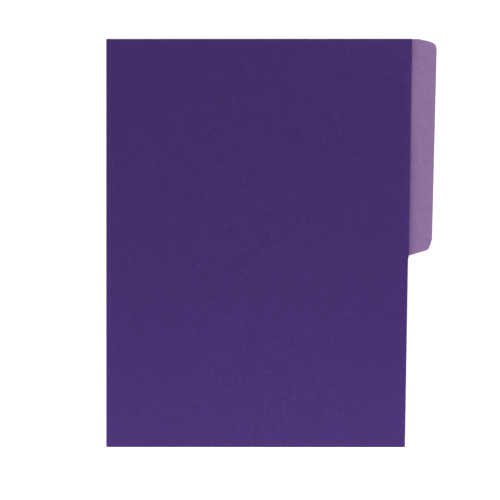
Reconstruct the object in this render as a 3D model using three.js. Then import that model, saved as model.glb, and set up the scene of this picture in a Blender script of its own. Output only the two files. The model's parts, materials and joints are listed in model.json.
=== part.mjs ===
// Letter-size file folder with a half-cut index tab, lying closed on its back leaf.
//
// The folder is one die-cut sheet of two-tone card: a dark outer ply pasted to a light inner
// ply. A fold, where the card bends round in a half ring, divides the sheet into a back leaf
// with the tab and a front leaf. The front leaf turns about the fold's centre line.
//
// Millimetres. +X runs from the fold to the free edges, +Y along the fold towards the tabbed
// end (the head), +Z up. The origin is the centre of the folder's footprint, on the surface
// that it lies on.

import * as THREE from 'three';

// The sheet
const FOLD_LENGTH = 298.45; // 11 3/4 in, foot to head
const OUTER_PLY = 0.14; // dark face
const INNER_PLY = 0.14; // light face
const PASTE_LINE = 0.02; // film between the plies

// The front leaf is cut a little out of square: its free edge nears the fold towards the foot,
// with a short bevel at the tab's root.
const FRONT_WIDTH_HEAD = 223.7;
const FRONT_WIDTH_ROOT = 220.65; // below the bevel
const FRONT_WIDTH_FOOT = 218.4;
const FRONT_BEVEL_WIDTH = 0.7;
const FRONT_BEVEL_LENGTH = 2.8;
const FRONT_BEVEL_DROP = 2.3; // from the tab's root down to the bevel's foot

// The back leaf below the tab ends just inside the front leaf's free edge.
const BACK_INSET = 0.4;

// The tab. Its reach is measured from the fold, and its outer edge runs out of square too,
// between a long bevel towards the foot and a short one at the head.
const TAB_LENGTH = 158.75; // 6 1/4 in, from the head down to the tab's root
const TAB_REACH_FOOT = 238.3;
const TAB_REACH_HEAD = 241.7;

// The shoulder at the tab's foot slopes up from the root to the foot bevel.
const ROOT_FILLET = 2.2;
const FOOT_SHOULDER_RISE = 4.5;
const FOOT_BEVEL_WIDTH = 2.6;
const FOOT_BEVEL_LENGTH = 7.6;
const FOOT_BEVEL_BEND = 9;

// The shoulder at the tab's head starts with a small step, where the tab's cut meets the sheet's
// trimmed edge, and falls in two slopes to the head bevel.
const HEAD_SHOULDER_WIDTH = 12.3;
const HEAD_SHOULDER_DROP = 3.6;
const HEAD_STEP_WIDTH = 0.5;
const HEAD_STEP_DROP = 0.5;
const HEAD_BREAK_WIDTH = 6.3;
const HEAD_BREAK_DROP = 1.4;
const HEAD_BREAK_BEND = 8;
const HEAD_BEVEL_WIDTH = 1;
const HEAD_BEVEL_LENGTH = 3.5;
const HEAD_BEVEL_BEND = 3;

const TAB_CORNER_RADIUS = 3.6;
const ARC_SEGMENTS = 4;

// The fold
const FOLD_RADIUS = 0.7; // of the outer face, about the fold's centre line
const PIECE_CLEARANCE = 0.02; // between the fold and a leaf
const COVER_LIFT_DEG = 0.6; // how far the card springs open when it is let go
const FOLD_SEGMENTS = 12;

const TAB_ROOT_Y = FOLD_LENGTH - TAB_LENGTH;
const COVER_LIFT = THREE.MathUtils.degToRad(COVER_LIFT_DEG);

const outerCard = new THREE.MeshStandardMaterial({ color: '#47306d', roughness: 0.85, metalness: 0 });
const innerCard = new THREE.MeshStandardMaterial({ color: '#8d709e', roughness: 0.88, metalness: 0 });

// Each ply lies between two distances from the fold's centre line: radii round the fold, and
// heights above or below the line in the leaves.
const INNER_PLY_FAR = FOLD_RADIUS - OUTER_PLY - PASTE_LINE;
const PLIES = {
  outer_ply: { near: FOLD_RADIUS - OUTER_PLY, far: FOLD_RADIUS, material: outerCard },
  inner_ply: { near: INNER_PLY_FAR - INNER_PLY, far: INNER_PLY_FAR, material: innerCard },
};

// A closed outline through the corners, with an arc of radius r at each corner that has one. An
// arc takes at most half of the side before it or after it.
function outline(corners) {
  const shape = new THREE.Shape();
  corners.forEach((corner, i) => {
    const here = new THREE.Vector2(corner.x, corner.y);
    const before = corners[(i + corners.length - 1) % corners.length];
    const after = corners[(i + 1) % corners.length];
    const back = new THREE.Vector2(before.x, before.y).sub(here);
    const ahead = new THREE.Vector2(after.x, after.y).sub(here);
    const half = Math.acos(back.dot(ahead) / (back.length() * ahead.length())) / 2;
    const room = Math.min(back.length(), ahead.length()) / 2;
    const reach = Math.min((corner.r ?? 0) / Math.tan(half), room);
    const add = i === 0 ? 'moveTo' : 'lineTo';
    if (reach <= 0) {
      shape[add](here.x, here.y);
      return;
    }
    const start = back.clone().setLength(reach);
    const end = ahead.clone().setLength(reach);
    const centre = back.normalize().add(ahead.normalize()).setLength(reach / Math.cos(half));
    start.sub(centre);
    end.sub(centre);
    centre.add(here);
    shape[add](centre.x + start.x, centre.y + start.y);
    const clockwise = start.cross(end) < 0;
    shape.absarc(centre.x, centre.y, start.length(), start.angle(), end.angle(), clockwise);
  });
  return shape;
}

// The leaves' outlines are measured from the fold's outermost line, at x = 0, and each leaf starts
// where the half ring ends.
const LEAF_START = FOLD_RADIUS + PIECE_CLEARANCE;

function backLeafOutline() {
  const footCorner = TAB_ROOT_Y + FOOT_SHOULDER_RISE;
  const headCorner = FOLD_LENGTH - HEAD_SHOULDER_DROP;
  const headBreak = FOLD_LENGTH - HEAD_BREAK_DROP;
  const stepStart = TAB_REACH_HEAD - HEAD_SHOULDER_WIDTH;
  return outline([
    { x: LEAF_START, y: 0 },
    { x: FRONT_WIDTH_FOOT - BACK_INSET, y: 0 },
    { x: FRONT_WIDTH_ROOT - BACK_INSET, y: TAB_ROOT_Y, r: ROOT_FILLET },
    { x: TAB_REACH_FOOT - FOOT_BEVEL_WIDTH, y: footCorner, r: TAB_CORNER_RADIUS },
    { x: TAB_REACH_FOOT, y: footCorner + FOOT_BEVEL_LENGTH, r: FOOT_BEVEL_BEND },
    { x: TAB_REACH_HEAD, y: headCorner - HEAD_BEVEL_LENGTH, r: HEAD_BEVEL_BEND },
    { x: TAB_REACH_HEAD - HEAD_BEVEL_WIDTH, y: headCorner, r: TAB_CORNER_RADIUS },
    { x: TAB_REACH_HEAD - HEAD_BREAK_WIDTH, y: headBreak, r: HEAD_BREAK_BEND },
    { x: stepStart + HEAD_STEP_WIDTH, y: FOLD_LENGTH - HEAD_STEP_DROP },
    { x: stepStart, y: FOLD_LENGTH },
    { x: LEAF_START, y: FOLD_LENGTH },
  ]);
}

function frontLeafOutline() {
  const bevelFoot = TAB_ROOT_Y - FRONT_BEVEL_DROP;
  return outline([
    { x: LEAF_START, y: 0 },
    { x: FRONT_WIDTH_FOOT, y: 0 },
    { x: FRONT_WIDTH_ROOT, y: bevelFoot },
    { x: FRONT_WIDTH_ROOT + FRONT_BEVEL_WIDTH, y: bevelFoot + FRONT_BEVEL_LENGTH },
    { x: FRONT_WIDTH_HEAD, y: FOLD_LENGTH },
    { x: LEAF_START, y: FOLD_LENGTH },
  ]);
}

// The half ring's section, from the back leaf round to the raised front leaf.
function foldSection({ near, far }) {
  const backEnd = -Math.PI / 2;
  const frontEnd = Math.PI / 2 + COVER_LIFT;
  const section = new THREE.Shape();
  section.absarc(0, 0, far, backEnd, frontEnd, true);
  section.absarc(0, 0, near, frontEnd, backEnd, false);
  return section;
}

function extruded(name, shape, depth, segments, material) {
  const geometry = new THREE.ExtrudeGeometry(shape, {
    depth,
    bevelEnabled: false,
    curveSegments: segments,
  });
  const mesh = new THREE.Mesh(geometry, material);
  mesh.name = name;
  return mesh;
}

// A leaf and the fold are built about the fold's centre line. side is +1 for the front leaf,
// above the line, and -1 for the back leaf, below it.
function leaf(name, shape, side) {
  const group = new THREE.Group();
  group.name = name;
  for (const [plyName, { near, far, material }] of Object.entries(PLIES)) {
    const ply = extruded(`${name}_${plyName}`, shape, far - near, ARC_SEGMENTS, material);
    ply.position.set(-FOLD_RADIUS, 0, side > 0 ? near : -far);
    group.add(ply);
  }
  return group;
}

function fold() {
  const group = new THREE.Group();
  group.name = 'fold';
  for (const [plyName, limits] of Object.entries(PLIES)) {
    const section = foldSection(limits);
    const ply = extruded(`fold_${plyName}`, section, FOLD_LENGTH, FOLD_SEGMENTS, limits.material);
    ply.rotation.x = Math.PI / 2;
    ply.position.y = FOLD_LENGTH;
    group.add(ply);
  }
  return group;
}

const backLeaf = leaf('back_leaf', backLeafOutline(), -1);
const frontLeaf = leaf('front_leaf', frontLeafOutline(), 1);
frontLeaf.rotation.y = -COVER_LIFT;

const reach = Math.max(...backLeafOutline().getPoints(ARC_SEGMENTS).map((point) => point.x));

const folder = new THREE.Group();
folder.name = 'file_folder';
folder.add(backLeaf, fold(), frontLeaf);
folder.position.set(FOLD_RADIUS - reach / 2, -FOLD_LENGTH / 2, FOLD_RADIUS);

export default folder;
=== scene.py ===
"""A letter-size card file folder with an index tab, dressed for a studio picture from above.

The folder is one sheet of two-tone card. Each ply of its back leaf, front leaf and fold is a
closed shell made by Geometry Nodes: the leaves are ruled from the fold to their die-cut free
edge and then sag, and the fold is a half ring round the hinge line. Everything is in metres,
with +X from the fold to the tab, +Y along the fold to the head, and +Z up.
"""

import json
import math

import bpy
from bpy.props import FloatProperty, FloatVectorProperty, IntProperty, PointerProperty
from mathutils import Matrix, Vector


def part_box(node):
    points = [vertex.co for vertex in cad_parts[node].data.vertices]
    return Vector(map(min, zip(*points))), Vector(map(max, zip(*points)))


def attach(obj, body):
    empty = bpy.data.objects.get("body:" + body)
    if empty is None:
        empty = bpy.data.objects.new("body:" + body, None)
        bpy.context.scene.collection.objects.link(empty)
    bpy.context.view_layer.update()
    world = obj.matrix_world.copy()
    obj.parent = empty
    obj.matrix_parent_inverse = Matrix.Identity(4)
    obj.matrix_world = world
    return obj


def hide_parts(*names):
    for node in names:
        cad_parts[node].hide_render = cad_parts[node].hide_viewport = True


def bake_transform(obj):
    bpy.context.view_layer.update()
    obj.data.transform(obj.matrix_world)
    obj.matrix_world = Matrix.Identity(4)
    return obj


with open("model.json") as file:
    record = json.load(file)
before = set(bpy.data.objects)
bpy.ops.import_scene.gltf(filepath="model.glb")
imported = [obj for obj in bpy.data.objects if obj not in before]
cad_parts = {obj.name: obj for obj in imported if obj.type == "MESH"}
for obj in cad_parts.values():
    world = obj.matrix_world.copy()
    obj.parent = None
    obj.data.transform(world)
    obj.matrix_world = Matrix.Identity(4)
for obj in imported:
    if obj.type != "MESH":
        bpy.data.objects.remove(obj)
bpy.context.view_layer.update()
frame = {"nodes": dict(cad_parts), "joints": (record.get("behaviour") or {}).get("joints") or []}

bl_info = {
    "name": "Card file folder",
    "version": (1, 0, 0),
    "blender": (4, 5, 0),
    "location": "3D View > Sidebar > Folder",
    "description": "Builds a two-tone card file folder with an index tab and its studio",
    "category": "Object",
}

MM = 0.001

# Sizes that come from the frame
HINGE = frame["joints"][0]
FOLD_X, _, FOLD_Z = HINGE["pos_m"]
FOLD_LOW, FOLD_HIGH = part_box("fold_outer_ply")
FOOT_Y = FOLD_LOW[1]
HEAD_Y = FOLD_HIGH[1]
FOLD_RADIUS = FOLD_Z
CREST_X = FOLD_X - FOLD_RADIUS
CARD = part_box("back_leaf_inner_ply")[1][2]
FRONT_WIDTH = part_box("front_leaf_outer_ply")[1][0] - FOLD_X
LIFT = math.pi - math.radians(HINGE["range_deg"][1])

# Room that keeps the fold clear of the leaves as it bends: how far past the fold line a leaf
# starts, and how much is taken off each face and each end of the fold's plies
SEAM = 0.01 * MM
FOLD_SLIM = 0.004 * MM
FOLD_SHORT = 0.03 * MM

# Surface attributes that the shells carry and the card reads
CUT = "cut_side"
RIM = "rim_distance"
HANDLED = "handled_distance"
CREASE = "crease_distance"

# Where a leaf's bends begin and end, as shares of the front leaf's width. The corner's is a share
# of the folder's height.
COCKLED = (0, 0.5)
CURLED = (0.9, 1.1)
CORNER = (0.93, 1)
COCKLE_SEED = 0.37

# Edges of a shell that turn by more than this stay sharp
SHARP_ANGLE = math.radians(30)

# Camera, straight above the folder
PICTURE_CENTRE = (-15.7 * MM, -5.1 * MM)
PICTURE_WIDTH = 365.6 * MM
PICTURE_LEVEL = 1.5 * MM
LENS_MM = 250
SENSOR_MM = 36
CLIP_START = 0.01

# Studio. The glow makes the floor's lit parts paper white and leaves its darkest shadow.
WORLD_LEVEL = 0.78
FLOOR_REACH = 2.5
FLOOR_DROP = 0.05 * MM
FLOOR_GLOW = 0.45
LAMPS = {
    "Foot light": {
        "place": (0.04, -0.34, 0.14), "aim": (0.04, -0.05, 0), "size": (0.8, 0.2),
        "power": 1.2, "colour": (1, 1, 1),
    },
    "Head light": {
        "place": (0.22, 0.26, 0.12), "aim": (0.05, 0.08, 0), "size": (0.2, 0.2),
        "power": 0.1, "colour": (1, 1, 0.6),
    },
}


def linear(r, g, b):
    """A colour written as it shows on a screen, 0 to 255, as linear light."""
    shown = [channel / 255 for channel in (r, g, b)]
    return tuple(c / 12.92 if c <= 0.04045 else ((c + 0.055) / 1.055) ** 2.4 for c in shown)


class FolderForm(bpy.types.PropertyGroup):
    """How the card lies"""

    sag: FloatProperty(
        name="Sag",
        description="How far the front leaf's free edge hangs below a flat leaf",
        default=0.25 * MM, min=0, unit="LENGTH", precision=5,
    )
    dip: FloatProperty(
        name="Dip",
        description="How much further the free edge hangs where it comes closest to the tab",
        default=1.9 * MM, min=0, unit="LENGTH", precision=5,
    )
    dip_place: FloatProperty(
        name="Dip place",
        description="Where along the fold the dip lies, from the foot to the head",
        default=0.845, min=0, max=1, subtype="FACTOR",
    )
    dip_spread: FloatProperty(
        name="Dip spread",
        description="Half the dip's length along the fold, as a share of the fold",
        default=0.115, min=0.02, max=1, subtype="FACTOR",
    )
    cockle: FloatProperty(
        name="Cockle",
        description="Height of the slow waves that damp air leaves in card",
        default=0.1 * MM, min=0, unit="LENGTH", precision=5,
    )
    cockle_length: FloatProperty(
        name="Cockle length",
        description="Distance from wave to wave",
        default=90 * MM, min=1 * MM, unit="LENGTH",
    )
    tab_curl: FloatProperty(
        name="Tab curl",
        description="How far the tab's outer edge curls up",
        default=0.35 * MM, min=0, unit="LENGTH", precision=5,
    )
    corner_curl: FloatProperty(
        name="Corner curl",
        description="How much further the tab's head corner curls up",
        default=0.4 * MM, min=0, unit="LENGTH", precision=5,
    )
    row_step: FloatProperty(
        name="Row step",
        description="Distance between the rows of faces along the free edge",
        default=1.2 * MM, min=0.3 * MM, unit="LENGTH", precision=5,
    )
    columns: IntProperty(
        name="Columns",
        description="Rows of vertices between the fold and the free edge",
        default=56, min=4, max=200,
    )
    fold_columns: IntProperty(
        name="Fold columns",
        description="Rows of vertices round the fold",
        default=25, min=5, max=64,
    )


class FolderColours(bpy.types.PropertyGroup):
    """The colours of the two-tone card"""

    outer: FloatVectorProperty(
        name="Outer card",
        description="Colour of the outer ply's face",
        default=linear(65.5, 41.3, 104.3), size=3, min=0, max=1, subtype="COLOR",
    )
    inner: FloatVectorProperty(
        name="Inner card",
        description="Colour of the inner ply's face",
        default=linear(141.6, 112.2, 159.8), size=3, min=0, max=1, subtype="COLOR",
    )
    core: FloatVectorProperty(
        name="Pulp",
        description="Colour of the raw pulp where the card is cut or rubbed",
        default=linear(160, 140, 170), size=3, min=0, max=1, subtype="COLOR",
    )
    floor: FloatVectorProperty(
        name="Floor",
        description="Colour of the studio floor",
        default=(0.9, 0.9, 0.9), size=3, min=0, max=1, subtype="COLOR",
    )


class Varying:
    """A number that varies over a surface: an output of a node tree, with arithmetic."""

    def __init__(self, tree, socket):
        self.tree = tree
        self.socket = socket

    def math(self, operation, *others, clamp=False):
        node = self.tree.nodes.new("ShaderNodeMath")
        node.operation = operation
        node.use_clamp = clamp
        for place, value in enumerate((self, *others)):
            feed(self.tree, node.inputs[place], value)
        return Varying(self.tree, node.outputs[0])

    def __add__(self, other):
        return self.math("ADD", other)

    def __sub__(self, other):
        return self.math("SUBTRACT", other)

    def __mul__(self, other):
        return self.math("MULTIPLY", other)

    def __truediv__(self, other):
        return self.math("DIVIDE", other)

    def __neg__(self):
        return self.math("MULTIPLY", -1)

    def __rsub__(self, other):
        return -self + other

    def __abs__(self):
        return self.math("ABSOLUTE")

    def sin(self):
        return self.math("SINE")

    def cos(self):
        return self.math("COSINE")

    def tan(self):
        return self.math("TANGENT")

    def inverse(self):
        return self.math("POWER", -1)

    def least(self, other):
        return self.math("MINIMUM", other)

    def most(self, other):
        return self.math("MAXIMUM", other)

    def clamped(self):
        return self.math("ADD", 0, clamp=True)

    def smooth(self, low, high):
        """0 below low, 1 above high, and a smooth step between them."""
        node = self.tree.nodes.new("ShaderNodeMapRange")
        node.interpolation_type = "SMOOTHSTEP"
        feed(self.tree, node.inputs["Value"], self)
        feed(self.tree, node.inputs["From Min"], low)
        feed(self.tree, node.inputs["From Max"], high)
        return Varying(self.tree, node.outputs["Result"])

    def within(self, reach):
        """1 at 0, and smoothly down to 0 at a distance of reach."""
        return (-self).smooth(-reach, 0)

    def mix(self, start, end):
        """start where this is 0 and end where it is 1."""
        return (1 - self) * start + self * end


def feed(tree, socket, value):
    """Links value to a socket if it is a node's output, and sets it there if it is a constant."""
    if isinstance(value, Varying):
        value = value.socket
    if isinstance(value, bpy.types.NodeSocket):
        tree.links.new(value, socket)
    else:
        socket.default_value = value


def add_node(tree, kind, inputs=None, **settings):
    """Adds a node with its settings, and feeds the named inputs."""
    node = tree.nodes.new(kind)
    for name, value in settings.items():
        setattr(node, name, value)
    for name, value in (inputs or {}).items():
        feed(tree, node.inputs[name], value)
    return node


def parts_of(tree, vector):
    """The x, y and z of a vector."""
    node = add_node(tree, "ShaderNodeSeparateXYZ", {0: vector})
    return [Varying(tree, node.outputs[axis]) for axis in range(3)]


def joined(tree, x, y, z):
    """The vector of three numbers."""
    return add_node(tree, "ShaderNodeCombineXYZ", {0: x, 1: y, 2: z}).outputs[0]


def turned(tree, vector, degrees, size):
    """The place in a pattern that is stretched to a size along each axis and turned in plan."""
    turn = (0, 0, math.radians(degrees))
    node = add_node(
        tree,
        "ShaderNodeMapping",
        {"Vector": vector, "Rotation": turn, "Scale": size},
        vector_type="TEXTURE",
    )
    return node.outputs[0]


def noise(tree, vector, scale, detail=2.0, roughness=0.5):
    """Noise from 0 to 1, with features about 1 / scale across."""
    node = add_node(
        tree,
        "ShaderNodeTexNoise",
        {"Vector": vector, "Scale": scale, "Detail": detail, "Roughness": roughness},
    )
    return Varying(tree, node.outputs[0])


# Geometry Nodes: the shells of card


class ShellTree:
    """A geometry tree that shapes a box of quads into one ply of card."""

    def __init__(self, name, sizes, counts):
        self.tree = bpy.data.node_groups.new(name, "GeometryNodeTree")
        self.tree.is_modifier = True
        face = self.tree.interface
        face.new_socket("Geometry", in_out="INPUT", socket_type="NodeSocketGeometry")
        for title in sizes:
            face.new_socket(title, in_out="INPUT", socket_type="NodeSocketFloat")
        for title in counts:
            face.new_socket(title, in_out="INPUT", socket_type="NodeSocketInt")
        face.new_socket("Material", in_out="INPUT", socket_type="NodeSocketMaterial")
        face.new_socket("Geometry", in_out="OUTPUT", socket_type="NodeSocketGeometry")
        self.inputs = self.tree.nodes.new("NodeGroupInput")

    def number(self, title):
        return Varying(self.tree, self.inputs.outputs[title])

    def box(self, columns, rows):
        """A box of quads, and where each vertex lies in it: across, along and through, 0 to 1."""
        box = add_node(
            self.tree,
            "GeometryNodeMeshCube",
            {"Size": (1, 1, 1), "Vertices X": columns, "Vertices Y": rows, "Vertices Z": 2},
        )
        place = add_node(self.tree, "GeometryNodeInputPosition").outputs[0]
        share = [axis + 0.5 for axis in parts_of(self.tree, place)]
        # the box's faces look straight up, straight down or sideways, and these are cut sides
        up = parts_of(self.tree, add_node(self.tree, "GeometryNodeInputNormal").outputs[0])[2]
        cut = abs(up).math("LESS_THAN", 0.5)
        return self.stored(box.outputs["Mesh"], CUT, cut, "FACE"), share

    def stored(self, geometry, name, value, domain):
        """geometry with a number kept on it under a name."""
        node = add_node(
            self.tree,
            "GeometryNodeStoreNamedAttribute",
            {"Geometry": geometry, "Name": name, "Value": value},
            data_type="FLOAT",
            domain=domain,
        )
        return node.outputs[0]

    def finish(self, geometry, x, y, z, handled, crease):
        """Moves the box's vertices to their places and ends the tree.

        handled is the distance from the edges that hands hold: all but the foot. crease is the
        distance from the fold line.
        """
        tree = self.tree
        # the distances are kept before the move, while the box's shares still hold
        kept = self.stored(geometry, HANDLED, handled, "POINT")
        kept = self.stored(kept, CREASE, crease, "POINT")
        kept = self.stored(kept, RIM, handled.least(y - self.number("Foot")), "POINT")
        placed = add_node(
            tree,
            "GeometryNodeSetPosition",
            {"Geometry": kept, "Position": joined(tree, x, y, z)},
        )
        smooth = add_node(tree, "GeometryNodeSetShadeSmooth", {"Geometry": placed.outputs[0]})
        bend = add_node(tree, "GeometryNodeInputMeshEdgeAngle").outputs["Unsigned Angle"]
        sharp = Varying(tree, bend).math("GREATER_THAN", SHARP_ANGLE)
        creased = add_node(
            tree,
            "GeometryNodeSetShadeSmooth",
            {"Geometry": smooth.outputs[0], "Selection": sharp, "Shade Smooth": False},
            domain="EDGE",
        )
        real = add_node(tree, "GeometryNodeRealizeInstances", {"Geometry": creased.outputs[0]})
        dressed = add_node(
            tree,
            "GeometryNodeSetMaterial",
            {"Geometry": real.outputs[0], "Material": self.inputs.outputs["Material"]},
        )
        end = tree.nodes.new("NodeGroupOutput")
        feed(tree, end.inputs[0], dressed.outputs[0])


def leaf_tree():
    """One ply of a leaf, ruled from the fold to the free edge that comes in as a chain of edges."""
    shell = ShellTree(
        "Card leaf",
        sizes=(
            "Fold line", "Crest", "Foot", "Head", "Base", "Thickness", "Width", "Lift", "Sag",
            "Dip", "Dip place", "Dip spread", "Cockle", "Cockle length", "Seed", "Curl",
            "Corner curl", "Row step",
        ),
        counts=("Columns",),
    )
    tree = shell.tree
    number = shell.number
    chain = add_node(tree, "GeometryNodeMeshToCurve", {0: shell.inputs.outputs["Geometry"]})
    edge = add_node(
        tree,
        "GeometryNodeResampleCurve",
        {"Curve": chain.outputs[0], "Length": number("Row step")},
        mode="LENGTH",
    ).outputs[0]
    size = add_node(tree, "GeometryNodeAttributeDomainSize", {0: edge}, component="CURVE")
    rows = Varying(tree, size.outputs["Point Count"])
    box, (across, along, through) = shell.box(number("Columns"), rows)

    # each row of the box ends at its own point of the free edge
    row = (along * (rows - 1)).math("ROUND")
    position = add_node(tree, "GeometryNodeInputPosition").outputs[0]
    sample = add_node(
        tree,
        "GeometryNodeSampleIndex",
        {"Geometry": edge, "Value": position, "Index": row},
        data_type="FLOAT_VECTOR",
        domain="POINT",
    )
    edge_x, y, _ = parts_of(tree, sample.outputs["Value"])
    start = number("Fold line")
    x = across.mix(start, edge_x)

    out = (x - start) / number("Width")
    height = (y - number("Foot")) / (number("Head") - number("Foot"))
    away = (height - number("Dip place")) / number("Dip spread")
    dip = (-(away * away)).math("EXPONENT") * number("Dip")
    # the noise runs from 0 to 1, so its waves have half the height that is asked for
    wave_place = joined(tree, x, y, number("Seed"))
    wave = noise(tree, wave_place, number("Cockle length").inverse(), detail=1) - 0.5
    cockle = wave * out.smooth(*COCKLED) * number("Cockle") * 2
    curl = number("Curl") + height.smooth(*CORNER) * number("Corner curl")
    z = number("Base") + (x - start) * number("Lift").tan() + through * number("Thickness")
    z = z - out * out * (number("Sag") + dip) + cockle + out.smooth(*CURLED) * curl

    plan = add_node(tree, "GeometryNodeCurveToMesh", {"Curve": edge}).outputs[0]
    near = add_node(
        tree,
        "GeometryNodeProximity",
        {"Geometry": plan, "Sample Position": joined(tree, x, y, 0)},
        target_element="EDGES",
    )
    handled = Varying(tree, near.outputs["Distance"]).least(x - number("Crest"))
    shell.finish(box, x, y, z, handled.least(number("Head") - y), x - start)


def fold_tree():
    """One ply of the fold: a half ring about the hinge line, from the back leaf to the front."""
    shell = ShellTree(
        "Card fold",
        sizes=("Fold line", "Crest", "Centre height", "Inside", "Outside", "Foot", "Head"),
        counts=("Columns", "Rows"),
    )
    number = shell.number
    box, (across, along, through) = shell.box(number("Columns"), number("Rows"))
    # from straight below the hinge line, round the crest, to straight above it
    angle = across.mix(1.5 * math.pi, 0.5 * math.pi)
    radius = through.mix(number("Inside"), number("Outside"))
    x = number("Fold line") + radius * angle.cos()
    y = along.mix(number("Foot"), number("Head"))
    z = number("Centre height") + radius * angle.sin()
    handled = (x - number("Crest")).least(number("Head") - y)
    shell.finish(box, x, y, z, handled, 0.0)


def shaped(name, base, tree, values):
    """A plain mesh object: base put through a geometry tree with these inputs."""
    raw = bpy.data.objects.new(name, base)
    bpy.context.scene.collection.objects.link(raw)
    modifier = raw.modifiers.new("Card", "NODES")
    modifier.node_group = tree
    sockets = {item.name: item.identifier for item in tree.interface.items_tree
               if item.in_out == "INPUT"}
    for title, value in values.items():
        modifier[sockets[title]] = value
    graph = bpy.context.evaluated_depsgraph_get()
    mesh = bpy.data.meshes.new_from_object(raw.evaluated_get(graph))
    mesh.name = name
    raw.modifiers.clear()
    raw.data = mesh
    return raw


def free_edge(node):
    """A leaf's free edge, foot to head, as a chain of edges in plan, from its CAD outline."""
    middle = FOLD_X + FRONT_WIDTH / 2
    reach = {}
    for vertex in frame["nodes"][node].data.vertices:
        x, y = (round(part, 7) for part in vertex.co.xy)
        if x > middle:
            reach[y] = max(x, reach.get(y, x))
    chain = [(reach[y], y, 0) for y in sorted(reach)]
    mesh = bpy.data.meshes.new(f"{node} edge")
    mesh.from_pydata(chain, [(i, i + 1) for i in range(len(chain) - 1)], [])
    return mesh


# Materials: two-tone card

# Features of the pulp along one metre of card, coarse to fine
CLOUDS = 95
HUE_PATCHES = 210
FIBRE_PATCHES = 260
SPECKS = 330
FIBRE_BENDS = 420
MOTTLES = 620
GRAINS = 3800

# Fibres: the angles that they lie at, how many times longer than wide they are, how far they
# bend, and half their width as a share of the noise that draws them
FIBRE_TURNS = (12, 68, 131)
FIBRE_SLIMNESS = 7
FIBRE_BEND = 0.9 * MM
FIBRE_HALF = 0.035

# How high each part of the pulp stands, as shares of the relief
MOTTLE_RELIEF = 0.45
GRAIN_RELIEF = 0.6
FIBRE_RELIEF = 0.5
RELIEF = 0.05 * MM

# Handling: how far in from the cut the die has frayed the card, how far in from the edges the card
# is made lighter, and how far from the fold line the inner face is darkened by pressed pulp and by
# painted shade of the crease
RIM_WIDTH = 0.45 * MM
EDGE_LIGHTENING_WIDTH = 9 * MM
CREASE_WIDTH = 1.6 * MM

# Frays and scuffs along one metre of card, and the angle and the size of the streaks in a scuff
FRAYS = 900
SCUFFS = 28
STREAK_TURN = 24
STREAK_SIZE = (25 * MM, 2.4 * MM, 25 * MM)

# What changes the roughness, which scuffing polishes
MOTTLE_ROUGHNESS = 0.12
SCUFF_POLISH = 0.07
CUT_ROUGHNESS = 0.15

# How strongly each part of the pulp and of the handling shows on a ply
OUTER_FINISH = {
    "cloud": 0.14, "mottle": 0.75, "grain": 0.5, "hue": 0.015,
    "fibre": 1.4 * MM, "fibre_tone": 0.16, "speck_tone": 0.12,
    "edge_lightening": 0.12, "crease_tone": 0, "wear": 0.14, "cut_tone": 0.3,
    "roughness": 0.64, "specular": 0.1, "bump": 0.6,
}
INNER_FINISH = {
    "cloud": 0.12, "mottle": 0.48, "grain": 0.4, "hue": 0.035,
    "fibre": 1.6 * MM, "fibre_tone": 0.12, "speck_tone": 0.1,
    "edge_lightening": 0.02, "crease_tone": 0.3, "wear": 0.2, "cut_tone": 0.35,
    "roughness": 0.7, "specular": 0.12, "bump": 0.6,
}


class FinishGroup:
    """A shader node group, made once and placed in each card's material."""

    def __init__(self, name, sizes, outputs):
        self.tree = bpy.data.node_groups.new(name, "ShaderNodeTree")
        self.ins = self.tree.nodes.new("NodeGroupInput")
        self.outs = self.tree.nodes.new("NodeGroupOutput")
        face = self.tree.interface
        face.new_socket("Vector", in_out="INPUT", socket_type="NodeSocketVector")
        for title in sizes:
            face.new_socket(title, in_out="INPUT", socket_type="NodeSocketFloat")
        for title in outputs:
            face.new_socket(title, in_out="OUTPUT", socket_type="NodeSocketFloat")

    def given(self, title):
        return Varying(self.tree, self.ins.outputs[title])

    def give(self, title, value):
        feed(self.tree, self.outs.inputs[title], value)


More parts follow.
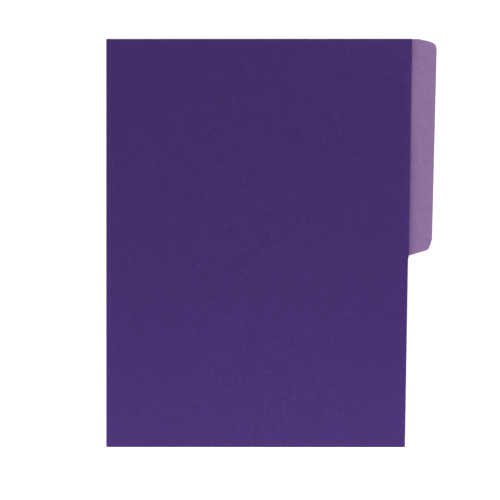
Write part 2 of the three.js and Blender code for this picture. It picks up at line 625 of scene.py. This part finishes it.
def card_pulp_group():
    """The structure of pulp: cloudy formation, fine mottle, lying fibres and their height."""
    group = FinishGroup(
        "Card pulp",
        sizes=("Fibre length",),
        outputs=("Formation", "Mottle", "Grain", "Fibres", "Specks", "Height"),
    )
    tree = group.tree
    place = group.ins.outputs["Vector"]
    formation = noise(tree, place, CLOUDS, detail=3, roughness=0.55)
    mottle = noise(tree, place, MOTTLES, detail=4, roughness=0.62)
    grain = noise(tree, place, GRAINS, detail=3, roughness=0.6)

    # fibres: thin bent ridges that lie at several angles and only show here and there
    bend = add_node(
        tree, "ShaderNodeTexNoise", {"Vector": place, "Scale": FIBRE_BENDS, "Detail": 1}
    ).outputs["Color"]
    centred = add_node(
        tree, "ShaderNodeVectorMath", {0: bend, 1: (0.5, 0.5, 0.5)}, operation="SUBTRACT"
    ).outputs[0]
    shift = add_node(
        tree, "ShaderNodeVectorMath", {0: centred, "Scale": FIBRE_BEND}, operation="SCALE"
    ).outputs[0]
    bent = add_node(
        tree, "ShaderNodeVectorMath", {0: place, 1: shift}, operation="ADD"
    ).outputs[0]
    fibres = None
    for turn in FIBRE_TURNS:
        lay = turned(tree, bent, turn, (1, 1 / FIBRE_SLIMNESS, 1))
        strand = noise(tree, lay, group.given("Fibre length").inverse(), detail=1)
        ridge = abs(strand - 0.5).within(FIBRE_HALF)
        fibres = ridge if fibres is None else fibres.most(ridge)
    fibres = fibres * noise(tree, place, FIBRE_PATCHES, detail=1).smooth(low=0.42, high=0.68)

    # specks: small dots in a few of a Voronoi pattern's cells
    dots = add_node(
        tree, "ShaderNodeTexVoronoi", {"Vector": place, "Scale": SPECKS, "Randomness": 1.0}
    )
    rare = parts_of(tree, dots.outputs["Color"])[0].smooth(low=0.9, high=0.93)
    specks = (-Varying(tree, dots.outputs["Distance"])).smooth(low=-0.16, high=-0.05) * rare

    group.give("Formation", formation)
    group.give("Mottle", mottle)
    group.give("Grain", grain)
    group.give("Fibres", fibres)
    group.give("Specks", specks)
    relief = mottle * MOTTLE_RELIEF + grain * GRAIN_RELIEF + fibres * FIBRE_RELIEF
    group.give("Height", relief)


def handling_group():
    """The card's cut rim and scuffs, where the die and hands have worked it, its lighter edges, and
    its crease, darkened by pressed pulp and by painted shade.
    """
    group = FinishGroup(
        "Card handling",
        sizes=("Rim distance", "Handled distance", "Crease distance"),
        outputs=("Rim", "Halo", "Crease", "Scuff"),
    )
    tree = group.tree
    place = group.ins.outputs["Vector"]
    frayed = noise(tree, place, FRAYS, detail=3, roughness=0.65)
    near = group.given("Rim distance").within(RIM_WIDTH)
    group.give("Rim", near * frayed.smooth(low=0.38, high=0.7))
    # the card is made lighter near every edge but the foot
    wide = (1 - group.given("Handled distance") / EDGE_LIGHTENING_WIDTH).clamped()
    group.give("Halo", wide * wide * (frayed * 0.4 + 0.8))
    # darker along the fold line: pressed pulp, and painted shade of the crease
    pressed_and_shaded = group.given("Crease distance").within(CREASE_WIDTH)
    group.give("Crease", pressed_and_shaded * (frayed * 0.6 + 0.7))
    patch = noise(tree, place, SCUFFS, detail=3, roughness=0.6).smooth(low=0.4, high=0.7)
    along_streaks = turned(tree, place, STREAK_TURN, STREAK_SIZE)
    streaks = noise(tree, along_streaks, 1, detail=3, roughness=0.6).smooth(low=0.6, high=0.78)
    group.give("Scuff", patch * (streaks * 0.6 + 0.4))


def placed_group(tree, name, inputs):
    """A node group placed in a material: its outputs by name."""
    node = add_node(tree, "ShaderNodeGroup", inputs, node_tree=bpy.data.node_groups[name])
    return {socket.name: Varying(tree, socket) for socket in node.outputs}


def carried(tree, attribute):
    """A number that the shell carries."""
    node = add_node(tree, "ShaderNodeAttribute", attribute_name=attribute)
    return Varying(tree, node.outputs["Fac"])


def tinted(tree, colour, factor, other):
    """colour mixed with another where factor is 1."""
    node = add_node(tree, "ShaderNodeMix", data_type="RGBA")
    # a Mix node has a pair of inputs for each kind of value, and colours take the fourth pair
    feed(tree, node.inputs[0], factor)
    feed(tree, node.inputs[6], colour)
    feed(tree, node.inputs[7], other)
    return node.outputs[2]


def card_material(name, face, pulp, finish):
    """Card of one colour, with its formation, mottle, fibres, cut sides and handling."""
    material = bpy.data.materials.new(name)
    material.use_nodes = True
    tree = material.node_tree
    tree.nodes.clear()
    place = add_node(tree, "ShaderNodeTexCoord").outputs["Object"]
    structure = placed_group(
        tree, "Card pulp", {"Vector": place, "Fibre length": finish["fibre"]}
    )
    handling = placed_group(
        tree,
        "Card handling",
        {
            "Vector": place,
            "Rim distance": carried(tree, RIM),
            "Handled distance": carried(tree, HANDLED),
            "Crease distance": carried(tree, CREASE),
        },
    )
    cut = carried(tree, CUT)
    mottle = structure["Mottle"] - 0.5

    brightness = (structure["Formation"] - 0.5) * finish["cloud"] + mottle * finish["mottle"] + 1
    brightness = brightness + (structure["Grain"] - 0.5) * finish["grain"]
    brightness = brightness + structure["Fibres"] * finish["fibre_tone"]
    brightness = brightness - structure["Specks"] * finish["speck_tone"]
    # lighter near every edge but the foot
    brightness = brightness + handling["Halo"] * finish["edge_lightening"]
    # the inner face darker along the fold line: pressed pulp and painted shade of the crease
    brightness = brightness - handling["Crease"] * finish["crease_tone"]
    hue = (noise(tree, place, HUE_PATCHES, detail=2) - 0.5) * finish["hue"] + 0.5
    varied = add_node(
        tree,
        "ShaderNodeHueSaturation",
        {"Hue": hue, "Value": brightness, "Color": (*face, 1)},
    )
    colour = tinted(tree, varied.outputs[0], handling["Rim"] * finish["wear"], (*pulp, 1))
    colour = tinted(tree, colour, cut * finish["cut_tone"], (*pulp, 1))

    roughness = mottle * MOTTLE_ROUGHNESS + finish["roughness"]
    roughness = roughness - handling["Scuff"] * SCUFF_POLISH + cut * CUT_ROUGHNESS
    bump = add_node(
        tree,
        "ShaderNodeBump",
        {"Height": structure["Height"], "Strength": finish["bump"], "Distance": RELIEF},
    )
    card = add_node(
        tree,
        "ShaderNodeBsdfPrincipled",
        {"Base Color": colour, "Roughness": roughness.clamped(), "Metallic": 0.0,
         "Specular IOR Level": finish["specular"], "Normal": bump.outputs[0]},
    )
    end = add_node(tree, "ShaderNodeOutputMaterial")
    feed(tree, end.inputs["Surface"], card.outputs[0])


# Each ply's material slot and its distances from the hinge line
PLIES = {
    "outer": {"slot": "outer_card", "near": FOLD_RADIUS - CARD / 2, "far": FOLD_RADIUS},
    "inner": {"slot": "inner_card", "near": FOLD_RADIUS - CARD, "far": FOLD_RADIUS - CARD / 2},
}


def card_for(ply):
    """A ply's finished material."""
    return bpy.data.materials[f"{ply} card"]


def leaf_ply(leaf, ply, front):
    """One ply of a leaf, which takes the place of its CAD node."""
    form = bpy.context.scene.folder_form
    limits = PLIES[ply]
    node = f"{leaf}_{ply}_ply"
    values = {
        "Fold line": FOLD_X + SEAM,
        "Crest": CREST_X,
        "Foot": FOOT_Y,
        "Head": HEAD_Y,
        "Base": FOLD_Z + limits["near"] if front else FOLD_Z - limits["far"],
        "Thickness": limits["far"] - limits["near"],
        "Width": FRONT_WIDTH,
        "Lift": LIFT if front else 0.0,
        "Sag": form.sag if front else 0.0,
        "Dip": form.dip if front else 0.0,
        "Dip place": form.dip_place,
        "Dip spread": form.dip_spread,
        "Cockle": form.cockle if front else 0.0,
        "Cockle length": form.cockle_length,
        "Seed": COCKLE_SEED,
        "Curl": 0.0 if front else form.tab_curl,
        "Corner curl": 0.0 if front else form.corner_curl,
        "Row step": form.row_step,
        "Columns": form.columns,
        "Material": card_for(ply),
    }
    tree = bpy.data.node_groups["Card leaf"]
    piece = shaped(f"{leaf}_{ply}_card", free_edge(node), tree, values)
    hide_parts(node)
    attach(piece, leaf)


class FOLDER_OT_card(bpy.types.Operator):
    """Make the two-tone card and the node trees that shape it"""

    bl_idname = "folder.card"
    bl_label = "Card"

    def execute(self, context):
        colours = context.scene.folder_colours
        card_pulp_group()
        handling_group()
        card_material("outer card", colours.outer, colours.core, OUTER_FINISH)
        card_material("inner card", colours.inner, colours.core, INNER_FINISH)
        leaf_tree()
        fold_tree()
        return {"FINISHED"}


class FOLDER_OT_back_leaf(bpy.types.Operator):
    """Make the back leaf with its index tab"""

    bl_idname = "folder.back_leaf"
    bl_label = "Back leaf"

    def execute(self, context):
        for ply in PLIES:
            leaf_ply("back_leaf", ply, front=False)
        return {"FINISHED"}


class FOLDER_OT_front_leaf(bpy.types.Operator):
    """Make the front leaf, which sags towards the tab"""

    bl_idname = "folder.front_leaf"
    bl_label = "Front leaf"

    def execute(self, context):
        for ply in PLIES:
            leaf_ply("front_leaf", ply, front=True)
        return {"FINISHED"}


class FOLDER_OT_fold(bpy.types.Operator):
    """Make the fold, which bends between the leaves"""

    bl_idname = "folder.fold"
    bl_label = "Fold"

    def execute(self, context):
        form = context.scene.folder_form
        for ply, limits in PLIES.items():
            values = {
                "Fold line": FOLD_X,
                "Crest": CREST_X,
                "Centre height": FOLD_Z,
                "Inside": limits["near"] + FOLD_SLIM,
                "Outside": limits["far"] - FOLD_SLIM,
                "Foot": FOOT_Y + FOLD_SHORT,
                "Head": HEAD_Y - FOLD_SHORT,
                "Columns": form.fold_columns,
                "Rows": round((HEAD_Y - FOOT_Y) / form.row_step),
                "Material": card_for(ply),
            }
            blank = bpy.data.meshes.new("fold blank")
            tree = bpy.data.node_groups["Card fold"]
            piece = shaped(f"fold_{ply}_card", blank, tree, values)
            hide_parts(f"fold_{ply}_ply")
            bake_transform(piece)
        return {"FINISHED"}


def area_lamp(name, place, aim, size, power, colour):
    """A soft light, aimed at a place, that the camera doesn't see."""
    data = bpy.data.lights.new(name, "AREA")
    data.shape = "RECTANGLE"
    data.size, data.size_y = size
    data.energy = power
    data.color = colour
    lamp = bpy.data.objects.new(name, data)
    lamp.location = place
    lamp.rotation_euler = (Vector(place) - Vector(aim)).to_track_quat("Z", "Y").to_euler()
    lamp.visible_camera = False
    bpy.context.scene.collection.objects.link(lamp)


def seen_share(tree):
    """1 for a ray from the camera or from a mirror or glass, and 0 for one that lights a face."""
    path = add_node(tree, "ShaderNodeLightPath")
    seen = Varying(tree, path.outputs["Is Camera Ray"])
    for ray in ("Is Glossy Ray", "Is Transmission Ray"):
        seen = seen.most(path.outputs[ray])
    return seen


def white_world(level):
    """Even light all round, behind a background that the camera sees as white."""
    world = bpy.data.worlds.new("Studio")
    bpy.context.scene.world = world
    world.use_nodes = True
    tree = world.node_tree
    tree.nodes.clear()
    light = add_node(
        tree,
        "ShaderNodeBackground",
        {"Color": (1, 1, 1, 1), "Strength": seen_share(tree).mix(level, 1.0)},
    )
    end = add_node(tree, "ShaderNodeOutputWorld")
    feed(tree, end.inputs["Surface"], light.outputs[0])


def floor_material(colour):
    """Matt white floor that shows as paper white and keeps the folder's shadow."""
    material = bpy.data.materials.new("Studio floor")
    material.use_nodes = True
    tree = material.node_tree
    tree.nodes.clear()
    matt = add_node(tree, "ShaderNodeBsdfDiffuse", {"Color": (*colour, 1)})
    glow = add_node(
        tree,
        "ShaderNodeEmission",
        {"Color": (1, 1, 1, 1), "Strength": seen_share(tree) * FLOOR_GLOW},
    )
    both = add_node(tree, "ShaderNodeAddShader", {0: matt.outputs[0], 1: glow.outputs[0]})
    end = add_node(tree, "ShaderNodeOutputMaterial")
    feed(tree, end.inputs["Surface"], both.outputs[0])
    return material


def studio_floor(colour):
    """A wide square floor, just under the folder."""
    signs = [(-1, -1), (1, -1), (1, 1), (-1, 1)]
    corners = [(x * FLOOR_REACH, y * FLOOR_REACH, -FLOOR_DROP) for x, y in signs]
    mesh = bpy.data.meshes.new("studio_floor")
    mesh.from_pydata(corners, [], [(0, 1, 2, 3)])
    mesh.materials.append(floor_material(colour))
    floor = bpy.data.objects.new("studio_floor", mesh)
    bpy.context.scene.collection.objects.link(floor)
    return floor


def camera_above(scene):
    """The scene's camera, which looks straight down on the middle of the picture."""
    data = bpy.data.cameras.new("Camera")
    data.lens = LENS_MM
    data.sensor_width = SENSOR_MM
    data.clip_start = CLIP_START
    camera = bpy.data.objects.new("Camera", data)
    distance = PICTURE_WIDTH * LENS_MM / SENSOR_MM
    camera.location = (*PICTURE_CENTRE, PICTURE_LEVEL + distance)
    scene.collection.objects.link(camera)
    scene.camera = camera


class FOLDER_OT_stage(bpy.types.Operator):
    """Make the floor, the light and the camera"""

    bl_idname = "folder.stage"
    bl_label = "Stage"

    def execute(self, context):
        scene = context.scene
        scene.view_settings.view_transform = "Standard"
        studio_floor(scene.folder_colours.floor)
        white_world(WORLD_LEVEL)
        for name, lamp in LAMPS.items():
            area_lamp(name, **lamp)
        camera_above(scene)
        return {"FINISHED"}


class FOLDER_PT_panel(bpy.types.Panel):
    """The folder's sizes, colours and pieces"""

    bl_label = "File folder"
    bl_space_type = "VIEW_3D"
    bl_region_type = "UI"
    bl_category = "Folder"

    def draw(self, context):
        for settings in (context.scene.folder_form, context.scene.folder_colours):
            box = self.layout.box()
            for name in settings.__annotations__:
                box.prop(settings, name)
        for operator in OPERATORS:
            self.layout.operator(operator.bl_idname)


OPERATORS = (
    FOLDER_OT_card,
    FOLDER_OT_back_leaf,
    FOLDER_OT_front_leaf,
    FOLDER_OT_fold,
    FOLDER_OT_stage,
)
CLASSES = (FolderForm, FolderColours, *OPERATORS, FOLDER_PT_panel)


def register():
    for item in CLASSES:
        bpy.utils.register_class(item)
    bpy.types.Scene.folder_form = PointerProperty(type=FolderForm)
    bpy.types.Scene.folder_colours = PointerProperty(type=FolderColours)


def unregister():
    del bpy.types.Scene.folder_colours
    del bpy.types.Scene.folder_form
    for item in reversed(CLASSES):
        bpy.utils.unregister_class(item)


def main():
    register()
    bpy.ops.folder.card()
    bpy.ops.folder.back_leaf()
    bpy.ops.folder.front_leaf()
    bpy.ops.folder.fold()
    bpy.ops.folder.stage()


if __name__ == "__main__":
    main()
